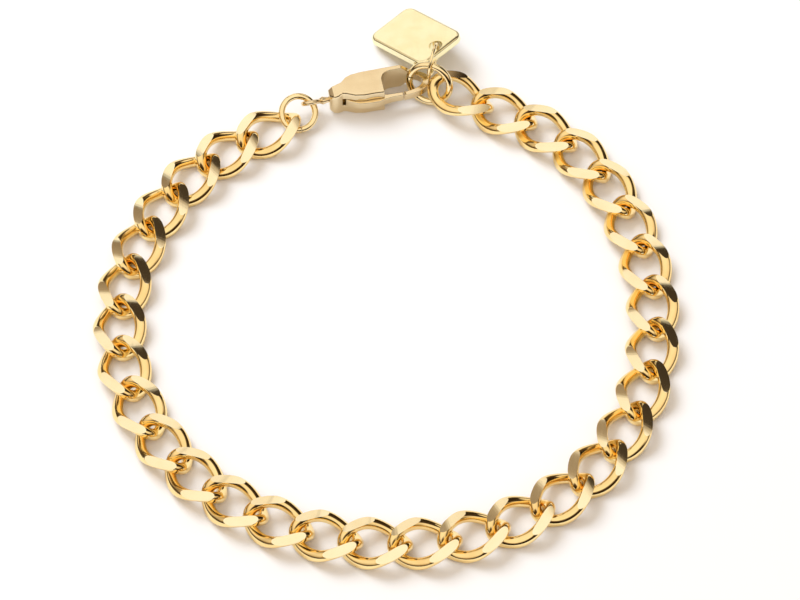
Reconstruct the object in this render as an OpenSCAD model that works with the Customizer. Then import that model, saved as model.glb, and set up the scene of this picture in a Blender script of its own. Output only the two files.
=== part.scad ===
// A fastened curb chain bracelet that lies flat as a round loop, with a lobster clasp and a small tag.
// Millimetres. The bracelet rests on the plane z = 0, and the middle of its outline is the origin.

/* [Chain] */
// Number of links in the chain
link_count = 31; // [29:1:33]
// Distance from one link to the next along the chain
pitch = 5.4; // [5.3:0.02:5.6]
// Thickness of a link's wire
wire_d = 1.3; // [1.2:0.02:1.32]
// Play between two links when the chain is pulled straight
link_play = 0.14; // [0.1:0.01:0.3]
// Outside width of a link before it is twisted
link_w = 6.05; // [5.9:0.05:6.5]
// Twist from one end of a link to the other, in degrees
link_twist = 88; // [80:1:92]
// Depth of the flat that is cut across each shoulder of a link
cut_depth = 0.42; // [0.3:0.01:0.45]
// Outward slope of those flats, in degrees
cut_tilt = 14; // [8:1:18]

/* [Last link] */
// How far the last link rises towards the ring that holds it, in degrees
last_rise = 12; // [11.5:0.1:12.5]
// How far the last link rolls about its length, in degrees
last_roll = 6; // [5:0.1:7]
// How far the last link turns inwards, in degrees
last_turn = 2; // [1:0.1:3]

/* [Jump rings] */
// Outside diameter of the left ring
left_ring_d = 4.62; // [4.55:0.01:4.8]
// Wire of the left ring
left_ring_wire = 0.75; // [0.7:0.01:0.77]
// Outside diameter of the right ring
right_ring_d = 5.7; // [5.65:0.01:5.75]
// Wire of the right ring
right_ring_wire = 0.82; // [0.76:0.01:0.84]
// Outside diameter of the tag's ring
tag_ring_d = 4.26; // [4.2:0.01:4.3]
// Wire of the tag's ring
tag_ring_wire = 0.4; // [0.35:0.01:0.44]

/* [Clasp] */
// Length of the clasp's body from its tail to its nose
clasp_len = 12; // [11.8:0.05:12.2]
// Width of the clasp's body across the hook
clasp_w = 3.6; // [3.5:0.05:3.7]
// Thickness of the clasp's body, which is how far it stands off the table
clasp_t = 3.8; // [3.6:0.05:4]
// Thickness of the hook
hook_t = 1.1; // [0.9:0.05:1.15]
// Thickness of the metal round the hook's opening, seen from above
hook_arm = 0.5; // [0.4:0.02:0.54]
// Thickness of the lever
lever_t = 1.2; // [1:0.05:1.3]
// Diameter of the lever's pin
pin_d = 0.76; // [0.6:0.02:0.9]
// Running clearance between moving pieces
clearance = 0.06; // [0.04:0.01:0.08]
// Outside diameter of the eye at the clasp's tail
eye_d = 2.42; // [2.38:0.01:2.5]
// Wire of that eye
eye_wire = 0.56; // [0.5:0.01:0.58]
// Diameter of the eye's stem
stem_d = 0.64; // [0.56:0.02:0.68]

/* [Tag] */
// Length of the tag
tag_l = 9.4; // [9:0.1:9.8]
// Width of the tag
tag_w = 6.75; // [6.4:0.05:7]
// Thickness of the tag
tag_t = 1.1; // [0.9:0.05:1.15]
// Radius of the tag's corners
tag_r = 1.1; // [0.6:0.05:1.5]
// Diameter of the tag's hole
tag_hole_d = 1.56; // [1.5:0.02:1.66]
// Distance from the middle of the hole to the tag's end
tag_hole_in = 1.15; // [1.05:0.01:1.2]

/* [Hidden] */
// Bend of the chain from the first joint to the last: place along the chain, share of the mean bend
bend_shares = [
    [0, 1.07], [0.11, 1.02], [0.21, 1.14], [0.32, 1.02], [0.43, 0.82], [0.54, 0.96],
    [0.64, 1.14], [0.75, 0.95], [0.86, 0.79], [0.93, 1.31], [0.96, 1.27], [1, 0.54]
];
// Which way a ring leans: turn of its raised side from the clasp's length, and rise of its plane
left_ring_turn = 87;
left_ring_lean = 30.6;
right_ring_turn = 59.2;
right_ring_lean = 65.8;
tag_ring_turn = 152.6;
tag_ring_lean = 90.6;
eye_lean = 124;
// Turn of the tag from the clasp's length, rise of the end that has the hole, and roll about its length
tag_turn = -56.2;
tag_rise = 20.6;
tag_roll = -3;
// Way from a ring's middle to what it holds, as a share of the ring's wire radius or of the room inside it
left_ring_to_eye = [0.86, 0.454, 0.194];
left_ring_to_link = [-0.647, -0.515];
nose_to_right_ring = [0.082, -0.339, 0.309];
right_ring_to_link = [0.357, 0.018];
right_ring_to_tag_ring = [0.352, 0.81, 0.677];
tag_ring_to_hole = [0.426, 1.031, -0.394];
// Gap left round the riveted pin, and the metal that hides its upper end
pin_fit = 0.02;
pin_cover = 0.45;
// How far the clasp's eye stands out from the tail, and how far above the middle of the clasp
eye_reach = 0.89;
eye_step = 0.1;
// Bead on the stem between the eye and the tail: its length, how much wider it is than the stem, its place
// from the tail, and the part of its length where it widens
bead_l = 0.9;
bead_over = 0.32;
bead_x = -1.05;
bead_rise = 0.3;
// Head that holds the eye's stem in the tail: its length, how much wider it is than the stem, and the
// room between it and the slot
head_t = 0.3;
head_over = 0.24;
head_room = 0.5;
// Limits and number of halvings when the mean bend is solved
bend_low = 8;
bend_high = 11.7;
bend_steps = 30;
// Place of a shoulder round the link's oval, the part of a link's width from which the wire counts as
// shoulder, and the least angle from the flat's middle at which a corner is moved to the flat's edge
shoulder_at = 315;
shoulder_from = 0.1;
edge_least = 20;
// Distance by which a cutting shape overshoots
past = 1;

// Colours of the gold pieces
gold = [0.93, 0.73, 0.36];
pale_gold = [0.96, 0.84, 0.55];
// Points round a curved outline, sections round a link, and corners of a link's faceted wire
curve_steps = 24;
link_sections = 16;
wire_sides = 6;
$fn = 48;

// Clasp, in its own frame: x from its tail to its nose, y outward from the bracelet, z up
clasp_mid = clasp_t / 2;
far_y = clasp_w * 0.53;
near_y = -clasp_w * 0.41;
nose_mid_y = (far_y + near_y) / 2;
nose_rx = clasp_len * 0.283;
nose_ry = (far_y - near_y) / 2;
nose_x = clasp_len - nose_rx;
nose_bar = 1.9 * hook_arm;
open_rx = nose_rx - nose_bar;
open_ry = nose_ry - hook_arm;
open_x = clasp_len * 0.525;
gate_x = clasp_len * 0.718;
slot_x = clasp_len * 0.125;
slot_y = far_y - clasp_w * 0.32;
slot_t = lever_t + 2 * clearance;
pivot = [clasp_len * 0.235, -clasp_w * 0.042];
pivot_r = slot_y - pivot[1] - 2 * clearance;
eye_at = [-(eye_d / 2 + eye_reach), 0, clasp_mid + eye_step];
eye_r = (eye_d - eye_wire) / 2;
head_x = slot_x - head_room;
head_d = stem_d + head_over;
bead_d = stem_d + bead_over;
pin_l = clasp_t - pin_cover;

// Chain
link_a = (pitch + wire_d + link_play) / 2;
link_b = (link_w - wire_d) / 2;
wire_r = wire_d / 2;

// Point on the middle line of a link's wire; x runs along the chain, y towards the wrist, z up
function oval(t) =
    let (turn = -link_twist / 2 * cos(t))
    [link_a * cos(t), link_b * sin(t) * cos(turn), link_b * sin(t) * sin(turn)];
function unit(v) = v / norm(v);
function along(t) = unit(oval(t + 1) - oval(t - 1));
// Square to the flat that is cut across the shoulder where a point lies
function cut_normal(p) = [0, sign(p[1]) * sin(cut_tilt), sign(p[2]) * cos(cut_tilt)];
cut_level = max([for (t = [270:2:360]) cut_normal(oval(shoulder_at)) * oval(t)]) + wire_r - cut_depth;

// Corners of the wire's section at t, with those above the cut brought down to its plane
function section(t) =
    let (
        p = oval(t), u = along(t),
        side = unit(cross([0, 0, 1], u)), up = cross(u, side),
        cut = cut_normal(p), toward = [cut * side, cut * up], reach = norm(toward),
        middle = atan2(toward[1], toward[0]),
        over = (cut_level - cut * p) / (wire_r * reach),
        half = over < 1 && abs(p[2]) > shoulder_from * link_b ? acos(max(over, -1)) : 0
    )
    [for (k = [0:wire_sides - 1])
        let (
            g = k * 360 / wire_sides,
            off = (g - middle + 540) % 360 - 180,
            edge = abs(off) < half && abs(off) > edge_least ? middle + sign(off) * half : g,
            q = p + wire_r * (cos(edge) * side + sin(edge) * up),
            inward = (toward[0] * side + toward[1] * up) / reach,
            high = cut * q - cut_level
        )
        abs(off) < half && high > 0 ? q - inward * high / reach : q];

link_rings = [for (i = [0:link_sections - 1]) section(i * 360 / link_sections)];
link_points = [for (ring = link_rings) for (q = ring) q];
link_faces = [
    for (i = [0:link_sections - 1]) for (k = [0:wire_sides - 1])
        let (
            a = i * wire_sides, b = (i + 1) % link_sections * wire_sides,
            n = (k + 1) % wire_sides
        )
        each [[a + k, b + k, b + n], [a + k, b + n, a + n]]
];
// Height of a level link's middle above the table
link_lift = -min([for (q = link_points) q[2]]);

// Route of the chain: middle of each link and the heading of the step that leaves it
function share(i) = lookup((i - 2) / (link_count - 3), bend_shares);
mean_share = [for (i = [2:link_count - 1]) share(i)] * [for (i = [2:link_count - 1]) 1] / (link_count - 2);
function route(bend) = [
    for (
        i = 1, h = 0, x = 0, y = 0;
        i <= link_count;
        x = x + pitch * cos(h), y = y + pitch * sin(h), i = i + 1,
        h = i < link_count ? h + bend * share(i) / mean_share : h
    )
    [x, y, h]
];
function heading(way, i) = i == 0 || i == link_count - 1 ? way[i][2] : (way[i - 1][2] + way[i][2]) / 2;
function first_crown(way) = [way[0][0] - link_a, way[0][1]];
function last_crown(way) =
    let (e = way[link_count - 1])
    [e[0] + link_a * cos(e[2]), e[1] + link_a * sin(e[2])];
function gap(way) = norm(last_crown(way) - first_crown(way));
// Mean bend at which the chain's ends stand as far apart as the closure is long
function solve_bend(low, high, n) =
    let (mid = (low + high) / 2)
    n == 0 ? mid
    : gap(route(mid)) > closure_span ? solve_bend(mid, high, n - 1)
    : solve_bend(low, mid, n - 1);

// Closure, in the clasp's frame
left_ring_r = (left_ring_d - left_ring_wire) / 2;
left_ring_at = eye_at - left_ring_r * left_ring_to_eye;
left_room = left_ring_r - left_ring_wire / 2 - wire_r;
first_at = [left_ring_at[0], left_ring_at[1]] + left_room * left_ring_to_link;
right_ring_r = (right_ring_d - right_ring_wire) / 2;
nose_at = [clasp_len - nose_bar / 2, nose_mid_y, clasp_mid];
right_ring_at = nose_at + right_ring_r * nose_to_right_ring;
right_room = right_ring_r - right_ring_wire / 2 - wire_r;
last_at = [right_ring_at[0], right_ring_at[1]] + right_room * right_ring_to_link;
closure_span = norm(last_at - first_at);
tag_ring_r = (tag_ring_d - tag_ring_wire) / 2;
tag_ring_at = right_ring_at + right_ring_r * right_ring_to_tag_ring;
// The tag lies with its far end on the table; tag_x, tag_y and tag_z are its own directions
hole_out = tag_l / 2 - tag_hole_in;
tag_x = [cos(tag_turn) * cos(tag_rise), sin(tag_turn) * cos(tag_rise), sin(tag_rise)];
tag_side = [-sin(tag_turn), cos(tag_turn), 0];
tag_y = cos(tag_roll) * tag_side + sin(tag_roll) * cross(tag_x, tag_side);
tag_z = cross(tag_x, tag_y);
tag_at = tag_ring_at + tag_ring_r * tag_ring_to_hole - hole_out * tag_x - tag_t / 2 * tag_z;

way = route(solve_bend(bend_low, bend_high, bend_steps));
chord = last_crown(way) - first_crown(way);
chain_turn = atan2(last_at[1] - first_at[1], last_at[0] - first_at[0]) - atan2(chord[1], chord[0]);
chain_shift = first_at - turned(first_crown(way), chain_turn);
function turned(p, a) = [p[0] * cos(a) - p[1] * sin(a), p[0] * sin(a) + p[1] * cos(a)];
// Middle of each link in the clasp's frame, with its heading
function link_place(i) =
    let (p = turned([way[i][0], way[i][1]], chain_turn) + chain_shift)
    [p[0], p[1], heading(way, i) + chain_turn];

// The whole bracelet turns so that the clasp lies as worn, then its outline is centred on the origin
clasp_heading = 11.66;
function link_outline(i) =
    let (e = link_place(i))
    [for (q = link_points) turned(turned(q, e[2]) + [e[0], e[1]], clasp_heading)];
// Rim of the tag's two faces, in the clasp's frame
tag_rim = [
    for (x = [-1, 1], y = [-1, 1])
        for (q = arc(x * (tag_l / 2 - tag_r), y * (tag_w / 2 - tag_r), tag_r, tag_r, 0, 360), z = [0, tag_t])
            tag_at + q[0] * tag_x + q[1] * tag_y + z * tag_z
];
extent = [
    for (k = [0, 1])
        let (v = concat(
            [for (i = [0:link_count - 2]) for (q = link_outline(i)) q[k]],
            [for (q = tag_rim) turned([q[0], q[1]], clasp_heading)[k]]
        ))
        [min(v), max(v)]
];

// Clasp outlines: share of the length, share of the half width on that side
body_far = [[0, 0.28], [0.034, 0.36], [0.13, 0.45], [0.185, 0.76], [0.24, 0.9], [0.34, 0.97], [0.44, 0.99]];
body_near = [
    [0.525, 0.96], [0.43, 0.92], [0.33, 0.93], [0.24, 0.8], [0.16, 0.5], [0.13, 0.45], [0.113, 0.51],
    [0.09, 0.58], [0.065, 0.6], [0.04, 0.58], [0.018, 0.51], [0, 0.36]
];
// Share of the length and of the half thickness where the side outline bends; only the far arm of the hook
// stays tall almost to the nose
body_half_t = [[0, 0.66], [0.04, 0.86], [0.12, 1], [0.54, 1]];
far_half_t = [[0.73, 1], [0.825, 0.42]];
lever_near = [[0.15, 0.47], [0.19, 0.77], [0.28, 1.11], [0.39, 1.21], [0.47, 1.2], [0.55, 1.04], [0.6, 0.98]];
lever_far = [[0.55, 0.64], [0.46, 0.3], [0.36, 0], [0.29, -0.3]];
function arc(x, y, rx, ry, from, to) = [
    for (i = [0:curve_steps])
        let (a = from + (to - from) * i / curve_steps)
        [x + rx * cos(a), y + ry * sin(a)]
];
near_end = clasp_len * 0.735;
far_end = clasp_len * 0.86;
body_plan = concat(
    [for (r = body_far) [r[0] * clasp_len, r[1] * far_y]],
    arc(nose_x, nose_mid_y, nose_rx, nose_ry, 90, -90),
    [for (r = body_near) [r[0] * clasp_len, r[1] * near_y]]
);
// Side outline that follows the given bends and is as thin as the hook from the place named end
function side_outline(bends, end) = concat(
    [for (r = bends) [r[0] * clasp_len, clasp_mid * (1 + r[1])]],
    [[end, clasp_mid + hook_t / 2], [clasp_len + past, clasp_mid + hook_t / 2]],
    [[clasp_len + past, clasp_mid - hook_t / 2], [end, clasp_mid - hook_t / 2]],
    [for (k = [len(bends) - 1:-1:0]) [bends[k][0] * clasp_len, clasp_mid * (1 - bends[k][1])]]
);
lever_tip = gate_x - clearance;
lever_plan = concat(
    [for (r = lever_near) [r[0] * clasp_len, r[1] * near_y]],
    [[lever_tip, near_y + 0.04], [lever_tip, near_y + hook_arm]],
    [for (r = lever_far) [r[0] * clasp_len, r[1] * near_y]]
);
opening_plan = concat(
    arc(open_x + open_ry, nose_mid_y, open_ry, open_ry, 90, 270),
    arc(nose_x, nose_mid_y, open_rx, open_ry, -90, 90)
);

function link_name(i) = str("link_", i < 10 ? "0" : "", i);

// Gold wire bent to a ring whose middle line has radius r
module ring(r, wire) {
    rotate_extrude() translate([r, 0]) circle(d = wire);
}

// Puts a piece of the closure in its place in the whole bracelet
module placed() {
    translate([-(extent[0][0] + extent[0][1]) / 2, -(extent[1][0] + extent[1][1]) / 2, 0])
        rotate(clasp_heading) children();
}

module link_solid() {
    polyhedron(points = link_points, faces = link_faces, convexity = 6);
}

// One link of the chain; the last one rises and rolls about its length to meet the right ring
module chain_link(i) {
    e = link_place(i - 1);
    color(gold) placed() translate([e[0], e[1], link_lift])
        if (i < link_count)
            rotate(e[2]) link_solid();
        else
            rotate(e[2]) translate([-link_a, 0, 0]) rotate([0, -last_rise, last_turn])
                translate([link_a, 0, 0]) rotate([last_roll, 0, 0]) link_solid();
}

module jump_ring_left() {
    color(gold) placed() translate(left_ring_at)
        rotate([left_ring_lean, 0, left_ring_turn - 90]) ring(left_ring_r, left_ring_wire);
}

module jump_ring_right() {
    color(gold) placed() translate(right_ring_at)
        rotate([right_ring_lean, 0, right_ring_turn - 90]) ring(right_ring_r, right_ring_wire);
}

// Eye with its bead, and with the stem and head that hold it in the tail
module clasp_eye() {
    color(gold) placed() {
        translate(eye_at) rotate([eye_lean, 0, 0]) ring(eye_r, eye_wire);
        translate([eye_at[0] + eye_r, 0, eye_at[2]]) rotate([0, 90, 0])
            cylinder(d = stem_d, h = head_x - eye_at[0] - eye_r);
        translate([head_x - head_t, 0, eye_at[2]]) rotate([0, 90, 0]) cylinder(d = head_d, h = head_t);
        translate([bead_x, 0, eye_at[2]]) rotate([0, 90, 0]) {
            cylinder(d1 = stem_d, d2 = bead_d, h = bead_rise * bead_l);
            translate([0, 0, bead_rise * bead_l])
                cylinder(d1 = bead_d, d2 = stem_d, h = (1 - bead_rise) * bead_l);
        }
    }
}

// Body of the clasp: tail, two cheeks with a slot between them, and the fixed hook
module clasp_body() {
    color(gold) placed() difference() {
        intersection() {
            linear_extrude(clasp_t) polygon(body_plan);
            union() {
                translate([0, clasp_w, 0]) rotate([90, 0, 0]) linear_extrude(2 * clasp_w)
                    polygon(side_outline(body_half_t, near_end));
                translate([0, nose_mid_y + clasp_w, 0]) rotate([90, 0, 0]) linear_extrude(clasp_w)
                    polygon(side_outline(concat(body_half_t, far_half_t), far_end));
            }
        }
        translate([0, 0, -past]) linear_extrude(clasp_t + 2 * past) {
            polygon(opening_plan);
            translate([open_x, near_y - past]) square([gate_x - open_x, nose_mid_y - near_y + past]);
        }
        translate([slot_x, near_y - past, clasp_mid - slot_t / 2])
            cube([open_x + open_ry / 2 - slot_x, slot_y - near_y + past, slot_t]);
        translate([pivot[0], pivot[1], -past]) cylinder(d = pin_d + 2 * pin_fit, h = pin_l + pin_fit + past);
        translate([-past, 0, eye_at[2]]) rotate([0, 90, 0])
            cylinder(d = stem_d + 2 * clearance, h = slot_x + 1.1 * past);
        translate([head_x - head_t - clearance, 0, eye_at[2]]) rotate([0, 90, 0])
            cylinder(d = head_d + 2 * clearance, h = head_room + head_t + clearance + 0.1 * past);
    }
}

// Sprung lever that closes the hook; it turns on the pin into the opening
module clasp_lever() {
    color(pale_gold) placed() translate([0, 0, clasp_mid - lever_t / 2]) linear_extrude(lever_t)
        difference() {
            union() {
                polygon(lever_plan);
                translate(pivot) circle(pivot_r);
            }
            translate(pivot) circle(d = pin_d + 2 * clearance);
        }
}

module lever_pin() {
    color(pale_gold) placed() translate([pivot[0], pivot[1], 0]) cylinder(d = pin_d, h = pin_l);
}

module tag_ring() {
    color(gold) placed() translate(tag_ring_at)
        rotate([tag_ring_lean, 0, tag_ring_turn - 90]) ring(tag_ring_r, tag_ring_wire);
}

// Plate with round corners and one hole
module tag() {
    color(pale_gold) placed() translate(tag_at) rotate([0, -tag_rise, tag_turn]) rotate([tag_roll, 0, 0])
        linear_extrude(tag_t) difference() {
            union() {
                square([tag_l - 2 * tag_r, tag_w], center = true);
                square([tag_l, tag_w - 2 * tag_r], center = true);
                for (x = [-1, 1], y = [-1, 1])
                    translate([x * (tag_l / 2 - tag_r), y * (tag_w / 2 - tag_r)]) circle(tag_r);
            }
            translate([hole_out, 0]) circle(d = tag_hole_d);
        }
}

for (i = [1:link_count])
    chain_link(i);
jump_ring_left();
jump_ring_right();
clasp_eye();
clasp_body();
clasp_lever();
lever_pin();
tag_ring();
tag();
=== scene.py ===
import math

import bpy
import numpy as np
from mathutils import Matrix, Vector


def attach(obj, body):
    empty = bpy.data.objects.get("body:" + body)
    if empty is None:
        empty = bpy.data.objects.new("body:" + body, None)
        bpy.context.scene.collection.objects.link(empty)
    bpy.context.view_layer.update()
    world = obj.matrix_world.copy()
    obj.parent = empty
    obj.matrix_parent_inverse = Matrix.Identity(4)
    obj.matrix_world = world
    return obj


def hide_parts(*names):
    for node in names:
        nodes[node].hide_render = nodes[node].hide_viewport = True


# A gold curb chain bracelet with a lobster clasp and a small tag, lying on a pale table.
# Everything is in metres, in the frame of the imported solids.
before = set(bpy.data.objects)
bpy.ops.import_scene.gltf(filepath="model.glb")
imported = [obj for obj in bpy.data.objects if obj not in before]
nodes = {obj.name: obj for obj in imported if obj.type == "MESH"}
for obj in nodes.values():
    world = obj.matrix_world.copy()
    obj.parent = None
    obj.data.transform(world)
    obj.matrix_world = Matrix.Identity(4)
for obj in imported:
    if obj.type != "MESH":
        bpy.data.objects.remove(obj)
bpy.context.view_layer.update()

MM = 0.001
LINK_NAMES = [f"link_{i:02d}" for i in range(1, 32)]
# Corners of a node are compared to this many decimals of a metre
CORNER_DECIMALS = 8

# One link: a twisted oval of round wire with a flat cut across each shoulder
LINK_HALF_LENGTH = 3.48 * MM
LINK_HALF_WIDTH = 2.345 * MM
LINK_WIRE_RADIUS = 0.68 * MM
LINK_TWIST = math.radians(88)
LINK_STEPS = 72
# Blender's bevel resolution of the wire, which gives it 28 sides
LINK_WIRE_ROUNDNESS = 12
LINK_MERGE = 0.001 * MM
# Angle in degrees from which the faces of a link meet in an edge
LINK_EDGE_ANGLE = 20
CUT_DEPTH = 0.44 * MM
CUT_TILT = math.radians(14)
# The cutter leaves each flat faintly barrelled along the link: radius of the barrel, and its sides
CUT_BARREL = 16 * MM
BARREL_SIDES = 360
BARREL_LENGTH = 20 * MM
# Block of metal that the cutter takes off a shoulder: along the link, up, and across it
CUT_BLOCK = (4.8 * MM, 2 * MM, 4 * MM)
CUT_BLOCK_RISE = 0.4 * MM
CUT_EDGE = 0.03 * MM
# How near a face has to be to the barrel, in place and in direction, to be part of the cut
ON_BARREL = 0.003 * MM
SQUARE_TO_BARREL = 0.9995
# Height of a link's middle above the table; what would reach lower is worn flat
LINK_LIFT = 1.25 * MM
# The last link is a little smaller, along, across and up, to clear the clasp and the tag's ring
LAST_LINK_SIZE = (0.985, 0.955, 0.955)

# Rings: name of the piece, radius of the middle line, radius of the wire, and where the seam faces
RINGS = {
    "jump_ring_left": ("left_ring", 1.935 * MM, 0.375 * MM, (0.2, -1, 0)),
    "jump_ring_right": ("right_ring", 2.44 * MM, 0.41 * MM, (-1, 0.25, 0.2)),
    "tag_ring": ("small_ring", 1.93 * MM, 0.2 * MM, (0.3, -1, 0)),
}
RING_STEPS = 144
RING_WIRE_SIDES = 20
RING_SMOOTH_ANGLE = 40
# Rounding where the wire's two ends meet: share of the wire's radius, and angle that counts as an edge
RING_END_ROUNDING = 0.06
RING_END_ANGLE = 60

# Clasp: its turn and the end of its tail on the table, and how its outline is rounded on the wrist side
CLASP_TURN = math.radians(11.66)
CLASP_TAIL = Vector((-6.695 * MM, 23.247 * MM, 0))
CHEEK_NEAR = -0.4 * MM
SLOT_TOP = 2.8 * MM
CHEEK_EDGE = 0.32 * MM
# A face lies level above the first upward share of its normal, and stands upright below the second
LEVEL_FACE = 0.7
UPRIGHT_FACE = 0.1
# Hole of the tag, the direction square to the tag's face, and the radius of the tag's rim
TAG_HOLE = Vector((5.76 * MM, 29.24 * MM, 3.55 * MM))
TAG_UP = Vector((-0.2137, 0.2837, 0.9348))
TAG_THICKNESS = 1.1 * MM
TAG_HOLE_MARGIN = 0.9 * MM
TAG_EDGE = 0.34 * MM
# An edge of the rim keeps its height, and lies this share of the thickness from the middle
RIM_SLOPE = 0.05 * MM
RIM_HEIGHT = 0.4
CHOSEN_EDGE_SEGMENTS = 5

# Copies of solids: how they are merged, and the radius of their polished edges
COPY_MERGE = 0.002 * MM
COPY_FLAT_ANGLE = math.radians(1.5)
COPY_EDGE_ANGLE = 24
COPY_EDGE_SEGMENTS = 3
COPY_SMOOTH_ANGLE = 22
CLASP_SMOOTH_ANGLE = 19
FLAT_FACE_WEIGHT = 100
CLASP_POLISH = 0.07 * MM
LEVER_POLISH = 0.12 * MM
EYE_POLISH = 0.04 * MM
PIN_POLISH = 0.05 * MM
TAG_POLISH = 0.03 * MM

# Marks of polishing and wear: their scales, how hairlines are stretched, and the noise that shows
HAIRLINE_SCALE = 2600.0
HAIRLINE_STRETCH = (1.0, 0.12, 0.3)
HAIRLINE_RANGE = (0.42, 0.7)
PATCH_SCALE = 420.0
PATCH_RANGE = (0.35, 0.68)
PLAIN_HAIRLINES = 0.35
MARK_STRENGTH = 0.02
MARK_DEPTH = 0.02 * MM
# Golds: colour, colour of the deeper patches, lowest roughness, its spread, and share of hairlines
GOLDS = {
    "chain_gold": ((1.0, 0.79, 0.38), (0.97, 0.71, 0.31), 0.06, 0.06, PLAIN_HAIRLINES),
    # The cut flats take a paler copy of the chain's gold: a painted highlight for the brighter light
    # that the flats reflect
    "cut_gold_painted_highlight": ((1.0, 0.895, 0.6), (0.98, 0.855, 0.54), 0.06, 0.05, 0.7),
    "ring_gold": ((1.0, 0.84, 0.5), (0.96, 0.76, 0.4), 0.06, 0.06, PLAIN_HAIRLINES),
    "clasp_gold": ((0.88, 0.74, 0.48), (0.84, 0.68, 0.42), 0.09, 0.08, PLAIN_HAIRLINES),
    "tag_gold": ((0.98, 0.91, 0.6), (0.96, 0.87, 0.53), 0.12, 0.1, 0.6),
}

# The white card on the table, and its two near whites
TABLE_SIZE = 4
TABLE_WHITE = (0.95, 0.94, 0.94)
TABLE_BRIGHT_WHITE = (0.97, 0.96, 0.96)
TABLE_ROUGHNESS = 0.9
TABLE_SHEEN = 0.15
TABLE_FIBRE_SCALE = 30.0

# The photograph's camera
CAMERA_ELEVATION = math.radians(59.73)
CAMERA_DISTANCE = 0.4454
CAMERA_AIM = Vector((1.51 * MM, -2.41 * MM, 0))
CAMERA_NEAREST = 0.01
FOCAL_PIXELS = 3953
IMAGE_WIDTH = 800
SENSOR_WIDTH = 36

# Middle of the dark part of the studio, which the facets on the right and far sides reflect
DARK_SIDE = Vector((0.62, 0.5, 0.6))
# Brightness of the studio by the sine of the height above the horizon, and by nearness to the dark part
CEILING = ((0.0, 0.055), (0.2, 0.07), (0.34, 0.55), (0.55, 0.9), (1.0, 1.0))
ROOM = ((0.0, 1.0), (0.82, 0.97), (0.865, 0.5), (0.885, 0.06), (1.0, 0.045))
# White card beyond the clasp, which the tag's face reflects
CARD_SIDE = Vector((-0.28, 0.88, 0.38))
CARD = ((0.0, 0.0), (0.968, 0.0), (0.98, 1.0), (1.0, 1.0))
# A second card, far and to the right, that lights the upper end of the outer cuts
FAR_CARD_SIDE = Vector((0.36, 0.74, 0.57))
FAR_CARD = ((0.0, 0.0), (0.966, 0.0), (0.976, 0.9), (1.0, 0.95))
# Dark side where the photographer stands, which the edges towards the camera reflect
STAND_SIDE = Vector((0.15, -1, 0.1))
STAND = ((0.0, 1.0), (0.77, 1.0), (0.85, 0.1), (1.0, 0.07))
# Dim patch of the far wall, left of the middle, which shows at the outer ends of the flats
LEFT_SIDE = Vector((-0.36, 0.77, 0.53))
LEFT = ((0.0, 1.0), (0.965, 1.0), (0.977, 0.4), (1.0, 0.28))
WHITE = (1, 1, 1)
ROOM_TINT = (1, 0.92, 0.83)
ROOM_BRIGHTNESS = 1.14
# How much further the room's tint goes where the room is dark
SHADE_WARMTH = 3.5
# The window that casts the shadows
KEY_SIZE = 0.5
KEY_POWER = 5.2
KEY_COLOUR = (0.93, 1.04, 1.17)
KEY_PLACE = (-0.42, 0.46, 0.7)


# Camera

def place_camera():
    camera_data = bpy.data.cameras.new("camera")
    camera_data.sensor_width = SENSOR_WIDTH
    camera_data.lens = FOCAL_PIXELS * SENSOR_WIDTH / IMAGE_WIDTH
    camera_data.clip_start = CAMERA_NEAREST
    camera = bpy.data.objects.new("camera", camera_data)
    bpy.context.collection.objects.link(camera)
    back = Vector((0, -math.cos(CAMERA_ELEVATION), math.sin(CAMERA_ELEVATION)))
    camera.location = CAMERA_AIM + CAMERA_DISTANCE * back
    camera.rotation_euler = (math.pi / 2 - CAMERA_ELEVATION, 0, 0)
    bpy.context.scene.camera = camera
    bpy.context.scene.view_settings.view_transform = "Standard"


# Materials

def new_group(name, inputs, outputs):
    """An empty shader node group with its input and output nodes."""
    group = bpy.data.node_groups.new(name, "ShaderNodeTree")
    for label, kind, value in inputs:
        socket = group.interface.new_socket(label, in_out="INPUT", socket_type=kind)
        if value is not None:
            socket.default_value = value
    for label, kind in outputs:
        group.interface.new_socket(label, in_out="OUTPUT", socket_type=kind)
    return group, group.nodes.new("NodeGroupInput"), group.nodes.new("NodeGroupOutput")


def add_noise(tree, detail, roughness):
    noise = tree.nodes.new("ShaderNodeTexNoise")
    noise.inputs["Detail"].default_value = detail
    noise.inputs["Roughness"].default_value = roughness
    return noise


def add_range(tree, lowest, highest):
    """Spreads what lies between two values over 0 to 1."""
    spread = tree.nodes.new("ShaderNodeMapRange")
    spread.inputs["From Min"].default_value = lowest
    spread.inputs["From Max"].default_value = highest
    return spread


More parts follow.
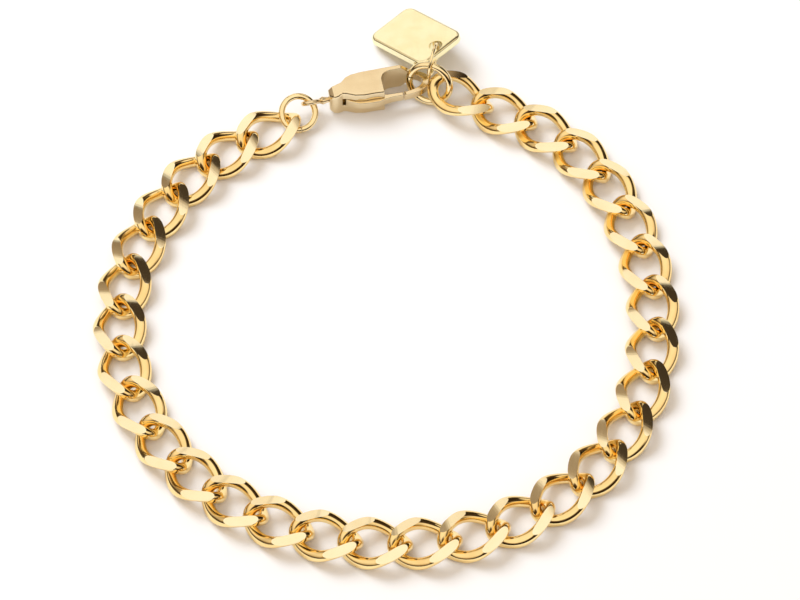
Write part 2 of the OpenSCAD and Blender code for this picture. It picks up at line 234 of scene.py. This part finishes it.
def polish_group():
    """Marks that polishing and wear leave in gold: fine hairlines, and soft uneven patches."""
    group, entry, exit_ = new_group(
        "polish_marks",
        [("Position", "NodeSocketVector", None), ("Hairline Scale", "NodeSocketFloat", HAIRLINE_SCALE),
         ("Patch Scale", "NodeSocketFloat", PATCH_SCALE),
         ("Hairline Share", "NodeSocketFloat", PLAIN_HAIRLINES)],
        [("Marks", "NodeSocketFloat"), ("Patches", "NodeSocketFloat"), ("Height", "NodeSocketFloat")],
    )
    link = group.links.new
    stretch = group.nodes.new("ShaderNodeMapping")
    stretch.inputs["Scale"].default_value = HAIRLINE_STRETCH
    hairlines = add_noise(group, detail=3.0, roughness=0.65)
    patches = add_noise(group, detail=2.0, roughness=0.5)
    lines = add_range(group, *HAIRLINE_RANGE)
    soft = add_range(group, *PATCH_RANGE)
    both = group.nodes.new("ShaderNodeMix")
    both.data_type = "FLOAT"
    link(entry.outputs["Position"], stretch.inputs["Vector"])
    link(stretch.outputs["Vector"], hairlines.inputs["Vector"])
    link(entry.outputs["Hairline Scale"], hairlines.inputs["Scale"])
    link(entry.outputs["Position"], patches.inputs["Vector"])
    link(entry.outputs["Patch Scale"], patches.inputs["Scale"])
    link(hairlines.outputs["Fac"], lines.inputs["Value"])
    link(patches.outputs["Fac"], soft.inputs["Value"])
    link(entry.outputs["Hairline Share"], both.inputs["Factor"])
    link(soft.outputs["Result"], both.inputs["A"])
    link(lines.outputs["Result"], both.inputs["B"])
    link(both.outputs["Result"], exit_.inputs["Marks"])
    link(soft.outputs["Result"], exit_.inputs["Patches"])
    link(lines.outputs["Result"], exit_.inputs["Height"])
    return group


def gold(name, polish):
    """Polished gold: its colour deepens in patches, and its gloss varies with the polish marks."""
    colour, deep_colour, roughness, rough_spread, hairline_share = GOLDS[name]
    material = bpy.data.materials.new(name)
    material.use_nodes = True
    tree = material.node_tree
    link = tree.links.new
    shader = tree.nodes["Principled BSDF"]
    shader.inputs["Metallic"].default_value = 1.0
    coordinates = tree.nodes.new("ShaderNodeTexCoord")
    marks = tree.nodes.new("ShaderNodeGroup")
    marks.node_tree = polish
    marks.inputs["Hairline Share"].default_value = hairline_share
    tint = tree.nodes.new("ShaderNodeMix")
    tint.data_type = "RGBA"
    tint.inputs["A"].default_value = (*colour, 1)
    tint.inputs["B"].default_value = (*deep_colour, 1)
    gloss = tree.nodes.new("ShaderNodeMapRange")
    gloss.inputs["To Min"].default_value = roughness
    gloss.inputs["To Max"].default_value = roughness + rough_spread
    relief = tree.nodes.new("ShaderNodeBump")
    relief.inputs["Strength"].default_value = MARK_STRENGTH
    relief.inputs["Distance"].default_value = MARK_DEPTH
    link(coordinates.outputs["Object"], marks.inputs["Position"])
    link(marks.outputs["Patches"], tint.inputs["Factor"])
    link(tint.outputs["Result"], shader.inputs["Base Color"])
    link(marks.outputs["Marks"], gloss.inputs["Value"])
    link(gloss.outputs["Result"], shader.inputs["Roughness"])
    link(marks.outputs["Height"], relief.inputs["Height"])
    link(relief.outputs["Normal"], shader.inputs["Normal"])
    return material


def table_material():
    """Matt white card with a faint warm unevenness."""
    material = bpy.data.materials.new("white_card")
    material.use_nodes = True
    tree = material.node_tree
    shader = tree.nodes["Principled BSDF"]
    shader.inputs["Roughness"].default_value = TABLE_ROUGHNESS
    shader.inputs["Specular IOR Level"].default_value = TABLE_SHEEN
    coordinates = tree.nodes.new("ShaderNodeTexCoord")
    fibres = tree.nodes.new("ShaderNodeTexNoise")
    fibres.inputs["Scale"].default_value = TABLE_FIBRE_SCALE
    tint = tree.nodes.new("ShaderNodeMix")
    tint.data_type = "RGBA"
    tint.inputs["A"].default_value = (*TABLE_WHITE, 1)
    tint.inputs["B"].default_value = (*TABLE_BRIGHT_WHITE, 1)
    tree.links.new(coordinates.outputs["Object"], fibres.inputs["Vector"])
    tree.links.new(fibres.outputs["Fac"], tint.inputs["Factor"])
    tree.links.new(tint.outputs["Result"], shader.inputs["Base Color"])
    return material


# Modelling helpers

def deselect_all():
    if bpy.context.object and bpy.context.object.mode != "OBJECT":
        bpy.ops.object.mode_set(mode="OBJECT")
    bpy.ops.object.select_all(action="DESELECT")


def use(piece):
    deselect_all()
    piece.select_set(True)
    bpy.context.view_layer.objects.active = piece


def apply_modifiers(piece):
    use(piece)
    for modifier in list(piece.modifiers):
        bpy.ops.object.modifier_apply(modifier=modifier.name)


def round_edges(piece, width, angle, segments=2, clamp=True):
    """Rounds every edge that is sharper than an angle in degrees."""
    modifier = piece.modifiers.new("edges", "BEVEL")
    modifier.width = width
    modifier.segments = segments
    modifier.limit_method = "ANGLE"
    modifier.angle_limit = math.radians(angle)
    modifier.use_clamp_overlap = clamp
    modifier.loop_slide = clamp
    modifier.harden_normals = True
    apply_modifiers(piece)


def smooth(piece, angle):
    """Shades a piece smooth wherever its faces meet at less than an angle in degrees."""
    use(piece)
    bpy.ops.object.shade_smooth_by_angle(angle=math.radians(angle))


def place(piece, matrix):
    """Moves a piece from the origin to its place, and keeps that place in its mesh."""
    piece.matrix_world = matrix
    use(piece)
    bpy.ops.object.transform_apply(location=True, rotation=True, scale=True)


def corners(node):
    """The corner points of a node's mesh, each one once."""
    points = np.array([v.co for v in nodes[node].data.vertices], float)
    return np.unique(np.round(points, CORNER_DECIMALS), axis=0)


def lie_of(node):
    """Matrix of a node's own long, middle and short directions, the last one upward, and its middle."""
    points = corners(node)
    middle = points.mean(0)
    spread = np.cov((points - middle).T)
    axes = np.linalg.eigh(spread)[1][:, ::-1]
    axes[:, 2] = np.cross(axes[:, 0], axes[:, 1])
    if axes[2, 2] < 0:
        axes[:, 1:] *= -1
    return Matrix.Translation(middle) @ Matrix(axes.tolist()).to_4x4()


# Links

def wire_middle(t):
    """Point on the middle line of a link's wire."""
    turn = -LINK_TWIST / 2 * math.cos(t)
    return Vector((
        LINK_HALF_LENGTH * math.cos(t),
        LINK_HALF_WIDTH * math.sin(t) * math.cos(turn),
        LINK_HALF_WIDTH * math.sin(t) * math.sin(turn),
    ))


def shoulder_cuts():
    """Middle of the flat, the way it faces, and the side of the link, for each of the four shoulders."""
    side, up = math.sin(CUT_TILT), math.cos(CUT_TILT)
    front = Vector((0, -side, up))
    front_quarter = [wire_middle(math.radians(degrees)) for degrees in range(270, 361, 2)]
    shoulder = max(front_quarter, key=front.dot)
    level = front.dot(shoulder) + LINK_WIRE_RADIUS - CUT_DEPTH
    cuts = []
    for y in (-1, 1):
        for z in (-1, 1):
            flat = Vector((0, y * side, z * up))
            cuts.append((Vector((-y * z * shoulder.x, 0, 0)) + level * flat, flat, -y * z))
    return cuts


def subtract(piece, cutter):
    cut = piece.modifiers.new("cut", "BOOLEAN")
    cut.operation = "DIFFERENCE"
    cut.solver = "EXACT"
    cut.object = cutter
    apply_modifiers(piece)
    bpy.data.objects.remove(cutter)


def cut_shoulder(piece, middle, flat, side):
    """Takes a block off a shoulder, down to a barrel that runs across the link."""
    along = Vector((1, 0, 0))
    across = along.cross(flat)
    turn = Matrix((along, flat, across)).transposed().to_4x4()
    deselect_all()
    bpy.ops.mesh.primitive_cylinder_add(vertices=BARREL_SIDES, radius=CUT_BARREL, depth=BARREL_LENGTH)
    barrel = bpy.context.object
    place(barrel, Matrix.Translation(middle - CUT_BARREL * flat) @ turn)
    deselect_all()
    bpy.ops.mesh.primitive_cube_add(size=1)
    block = bpy.context.object
    block_middle = middle + CUT_BLOCK_RISE * flat + side * CUT_BLOCK[2] / 2 * across
    place(block, Matrix.Translation(block_middle) @ turn @ Matrix.Diagonal((*CUT_BLOCK, 1)))
    subtract(block, barrel)
    subtract(piece, block)


def on_flat(face, middle, flat):
    """Whether a face of the link lies on the barrel that this shoulder is cut to."""
    out = face.center - middle + CUT_BARREL * flat
    out.y, out.z = (out.dot(flat) * flat).yz
    return (abs(out.length - CUT_BARREL) < ON_BARREL
            and face.normal.dot(out.normalized()) > SQUARE_TO_BARREL)


def twisted_wire():
    """A closed oval of round wire at the origin, twisted along its length."""
    deselect_all()
    bpy.ops.mesh.primitive_circle_add(vertices=LINK_STEPS, radius=LINK_HALF_LENGTH)
    piece = bpy.context.object
    piece.name = "link"
    bpy.ops.object.mode_set(mode="EDIT")
    bpy.ops.mesh.select_all(action="SELECT")
    bpy.ops.transform.resize(value=(1, LINK_HALF_WIDTH / LINK_HALF_LENGTH, 1), center_override=(0, 0, 0))
    bpy.ops.object.mode_set(mode="OBJECT")
    bpy.ops.object.convert(target="CURVE")
    piece = bpy.context.object
    piece.data.bevel_depth = LINK_WIRE_RADIUS
    piece.data.bevel_resolution = LINK_WIRE_ROUNDNESS
    bpy.ops.object.convert(target="MESH")
    piece = bpy.context.object
    twist = piece.modifiers.new("twist", "SIMPLE_DEFORM")
    twist.deform_method = "TWIST"
    twist.deform_axis = "X"
    twist.angle = -LINK_TWIST * (LINK_HALF_LENGTH + LINK_WIRE_RADIUS) / LINK_HALF_LENGTH
    apply_modifiers(piece)
    bpy.ops.object.mode_set(mode="EDIT")
    bpy.ops.mesh.select_all(action="SELECT")
    bpy.ops.mesh.remove_doubles(threshold=LINK_MERGE)
    bpy.ops.mesh.normals_make_consistent(inside=False)
    bpy.ops.object.mode_set(mode="OBJECT")
    return piece


def model_link():
    """A link at the origin: twisted wire that is cut flat across its four shoulders."""
    piece = twisted_wire()
    cuts = shoulder_cuts()
    for middle, flat, side in cuts:
        if flat.z > 0:
            cut_shoulder(piece, middle, flat, side)
    use(piece)
    bpy.ops.object.mode_set(mode="EDIT")
    undersides = [(middle, flat) for middle, flat, side in cuts if flat.z < 0]
    for middle, flat in undersides + [(Vector((0, 0, -LINK_LIFT)), Vector((0, 0, -1)))]:
        bpy.ops.mesh.select_all(action="SELECT")
        bpy.ops.mesh.bisect(plane_co=middle, plane_no=flat, use_fill=True, clear_outer=True)
    bpy.ops.object.mode_set(mode="OBJECT")
    piece.data.materials.clear()
    piece.data.materials.append(chain_gold)
    piece.data.materials.append(cut_gold_painted_highlight)
    # Faces on the cut flats get the paler gold with the painted highlight, the rest of the wire the
    # chain's gold
    for face in piece.data.polygons:
        face.material_index = int(any(on_flat(face, middle, flat) for middle, flat, side in cuts))
    smooth(piece, LINK_EDGE_ANGLE)
    round_edges(piece, CUT_EDGE, LINK_EDGE_ANGLE)
    return piece


def lay_links(link):
    for name in LINK_NAMES:
        use(link)
        bpy.ops.object.duplicate(linked=False)
        piece = bpy.context.object
        piece.name = "cut_" + name
        size = LAST_LINK_SIZE if name == LINK_NAMES[-1] else (1, 1, 1)
        place(piece, lie_of(name) @ Matrix.Diagonal((*size, 1)))
        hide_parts(name)
        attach(piece, "bracelet")
    bpy.data.objects.remove(link)


# Rings

def model_ring(node, name, radius, wire, seam_towards):
    """A wire ring with the hairline seam where its two ends meet."""
    lie = lie_of(node)
    deselect_all()
    bpy.ops.mesh.primitive_torus_add(
        major_radius=radius, minor_radius=wire,
        major_segments=RING_STEPS, minor_segments=RING_WIRE_SIDES)
    piece = bpy.context.object
    piece.name = name
    step = math.tau / RING_STEPS
    seam = lie.to_3x3().inverted() @ Vector(seam_towards)
    seam_angle = (math.floor(math.atan2(seam.y, seam.x) / step) + 0.5) * step
    ray = Vector((math.cos(seam_angle), math.sin(seam_angle), 0))
    bpy.ops.object.mode_set(mode="EDIT")
    bpy.ops.mesh.select_mode(type="FACE")
    bpy.ops.mesh.select_all(action="DESELECT")
    bpy.ops.object.mode_set(mode="OBJECT")
    for face in piece.data.polygons:
        flat = Vector((face.center.x, face.center.y, 0)).normalized()
        face.select = flat.dot(ray) > math.cos(step / 4)
    bpy.ops.object.mode_set(mode="EDIT")
    bpy.ops.mesh.delete(type="FACE")
    bpy.ops.mesh.select_mode(type="EDGE")
    bpy.ops.mesh.select_all(action="DESELECT")
    bpy.ops.mesh.select_non_manifold()
    bpy.ops.mesh.edge_face_add()
    bpy.ops.object.mode_set(mode="OBJECT")
    smooth(piece, RING_SMOOTH_ANGLE)
    round_edges(piece, RING_END_ROUNDING * wire, RING_END_ANGLE)
    piece.data.materials.append(ring_gold)
    place(piece, lie)
    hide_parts(node)
    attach(piece, "bracelet")


# Clasp and tag

def clasp_point(point):
    """A point in the clasp's own directions: from its tail to its nose, outward, and up."""
    return Matrix.Rotation(-CLASP_TURN, 3, "Z") @ (Vector(point) - CLASP_TAIL)


def round_chosen(piece, chosen, radius):
    """Rounds the edges for which chosen(edge, its two ends) holds."""
    use(piece)
    bpy.ops.object.mode_set(mode="EDIT")
    bpy.ops.mesh.select_mode(type="EDGE")
    bpy.ops.mesh.select_all(action="DESELECT")
    bpy.ops.object.mode_set(mode="OBJECT")
    corners_at = [v.co for v in piece.data.vertices]
    for edge in piece.data.edges:
        edge.select = chosen(edge, [corners_at[k] for k in edge.vertices])
    bpy.ops.object.mode_set(mode="EDIT")
    bpy.ops.mesh.bevel(
        offset=radius, segments=CHOSEN_EDGE_SEGMENTS, affect="EDGES",
        clamp_overlap=False, loop_slide=False)
    bpy.ops.object.mode_set(mode="OBJECT")


def round_cheeks(piece):
    """Rounds the upper outline on the wrist side, all the way from the tail to the gate."""
    facing = {}
    for face in piece.data.polygons:
        for key in face.edge_keys:
            facing.setdefault(key, []).append(abs(face.normal.z))

    def on_outline(edge, ends):
        ends = [clasp_point(p) for p in ends]
        return (max(facing[edge.key]) > LEVEL_FACE and min(facing[edge.key]) < UPRIGHT_FACE
                and all(p.y < CHEEK_NEAR and p.z > SLOT_TOP for p in ends))
    round_chosen(piece, on_outline, CHEEK_EDGE)


def round_rim(piece):
    """Rounds the rim of the tag's two faces, but not the edge of its hole."""
    def on_rim(edge, ends):
        heights = [(p - TAG_HOLE).dot(TAG_UP) for p in ends]
        reach = min(((p - TAG_HOLE) - h * TAG_UP).length for p, h in zip(ends, heights))
        return (reach > TAG_HOLE_MARGIN and abs(heights[0] - heights[1]) < RIM_SLOPE
                and min(abs(h) for h in heights) > RIM_HEIGHT * TAG_THICKNESS)
    round_chosen(piece, on_rim, TAG_EDGE)


def finished_copy(node, name, body, material, edge,
                  smooth_angle=COPY_SMOOTH_ANGLE, shape=None, clamp=True):
    """A copy of a solid with its faces merged and its edges rounded, as polishing leaves them."""
    piece = bpy.data.objects.new(name, nodes[node].data.copy())
    bpy.context.collection.objects.link(piece)
    piece.data.materials.clear()
    use(piece)
    bpy.ops.object.mode_set(mode="EDIT")
    bpy.ops.mesh.select_all(action="SELECT")
    bpy.ops.mesh.remove_doubles(threshold=COPY_MERGE)
    bpy.ops.mesh.dissolve_limited(angle_limit=COPY_FLAT_ANGLE)
    bpy.ops.object.mode_set(mode="OBJECT")
    if piece.data.has_custom_normals:
        bpy.ops.mesh.customdata_custom_splitnormals_clear()
    if shape:
        shape(piece)
    smooth(piece, smooth_angle)
    round_edges(piece, edge, COPY_EDGE_ANGLE, segments=COPY_EDGE_SEGMENTS, clamp=clamp)
    flats = piece.modifiers.new("flats", "WEIGHTED_NORMAL")
    flats.weight = FLAT_FACE_WEIGHT
    flats.keep_sharp = True
    apply_modifiers(piece)
    piece.data.materials.append(material)
    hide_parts(node)
    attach(piece, body)


# Table and light

def lay_table():
    deselect_all()
    bpy.ops.mesh.primitive_plane_add(size=TABLE_SIZE)
    table = bpy.context.object
    table.name = "table"
    table.data.materials.append(table_material())


def hang_window():
    """A square soft light that aims at the bracelet and doesn't show in the gold."""
    data = bpy.data.lights.new("window", "AREA")
    data.energy = KEY_POWER
    data.color = KEY_COLOUR
    data.size = KEY_SIZE
    window = bpy.data.objects.new("window", data)
    bpy.context.collection.objects.link(window)
    window.location = KEY_PLACE
    window.rotation_euler = (-Vector(KEY_PLACE)).to_track_quat("-Z", "Y").to_euler()
    window.visible_glossy = False


def add_ramp(tree, stops, tint):
    """A colour ramp from (position, brightness) stops; the dimmer a stop is, the warmer it is."""
    ramp = tree.nodes.new("ShaderNodeValToRGB")
    elements = ramp.color_ramp.elements
    while len(elements) < len(stops):
        elements.new(0.5)
    for element, (position, level) in zip(elements, stops):
        element.position = position
        warmth = SHADE_WARMTH * (1 - level)
        element.color = (*(level * part * warm ** warmth for part, warm in zip(tint, ROOM_TINT)), 1)
    return ramp


def light_studio():
    """Bright overhead, dim near the horizon, and dark on the right of the far side, with two cards."""
    world = bpy.data.worlds.new("studio")
    bpy.context.scene.world = world
    world.use_nodes = True
    tree = world.node_tree
    tree.nodes.clear()
    link = tree.links.new
    coordinates = tree.nodes.new("ShaderNodeTexCoord")
    height = tree.nodes.new("ShaderNodeSeparateXYZ")
    ceiling = add_ramp(tree, CEILING, ROOM_TINT)
    colour = ceiling.outputs["Color"]
    sides = (
        (DARK_SIDE, ROOM, WHITE, "MULTIPLY"),
        (STAND_SIDE, STAND, WHITE, "MULTIPLY"),
        (LEFT_SIDE, LEFT, WHITE, "MULTIPLY"),
        (FAR_CARD_SIDE, FAR_CARD, ROOM_TINT, "LIGHTEN"),
        (CARD_SIDE, CARD, ROOM_TINT, "LIGHTEN"),
    )
    for direction, stops, tint, way in sides:
        towards = tree.nodes.new("ShaderNodeVectorMath")
        towards.operation = "DOT_PRODUCT"
        towards.inputs[1].default_value = direction.normalized()
        part = add_ramp(tree, stops, tint)
        joined = tree.nodes.new("ShaderNodeMix")
        joined.data_type = "RGBA"
        joined.blend_type = way
        joined.inputs["Factor"].default_value = 1
        link(coordinates.outputs["Generated"], towards.inputs[0])
        link(towards.outputs["Value"], part.inputs["Fac"])
        link(colour, joined.inputs["A"])
        link(part.outputs["Color"], joined.inputs["B"])
        colour = joined.outputs["Result"]
    background = tree.nodes.new("ShaderNodeBackground")
    background.inputs["Strength"].default_value = ROOM_BRIGHTNESS
    output = tree.nodes.new("ShaderNodeOutputWorld")
    link(coordinates.outputs["Generated"], height.inputs["Vector"])
    link(height.outputs["Z"], ceiling.inputs["Fac"])
    link(colour, background.inputs["Color"])
    link(background.outputs["Background"], output.inputs["Surface"])


place_camera()
polish = polish_group()
chain_gold = gold("chain_gold", polish)
cut_gold_painted_highlight = gold("cut_gold_painted_highlight", polish)
ring_gold = gold("ring_gold", polish)
clasp_gold = gold("clasp_gold", polish)
tag_gold = gold("tag_gold", polish)

lay_links(model_link())
for node, ring in RINGS.items():
    model_ring(node, *ring)
finished_copy("clasp_body", "polished_clasp", "bracelet", clasp_gold, CLASP_POLISH,
              smooth_angle=CLASP_SMOOTH_ANGLE, shape=round_cheeks, clamp=False)
finished_copy("clasp_lever", "polished_lever", "lever", clasp_gold, LEVER_POLISH, clamp=False)
finished_copy("clasp_eye", "polished_eye", "bracelet", clasp_gold, EYE_POLISH)
finished_copy("lever_pin", "polished_pin", "bracelet", clasp_gold, PIN_POLISH)
finished_copy("tag", "polished_tag", "bracelet", tag_gold, TAG_POLISH, shape=round_rim)
lay_table()
light_studio()
hang_window()
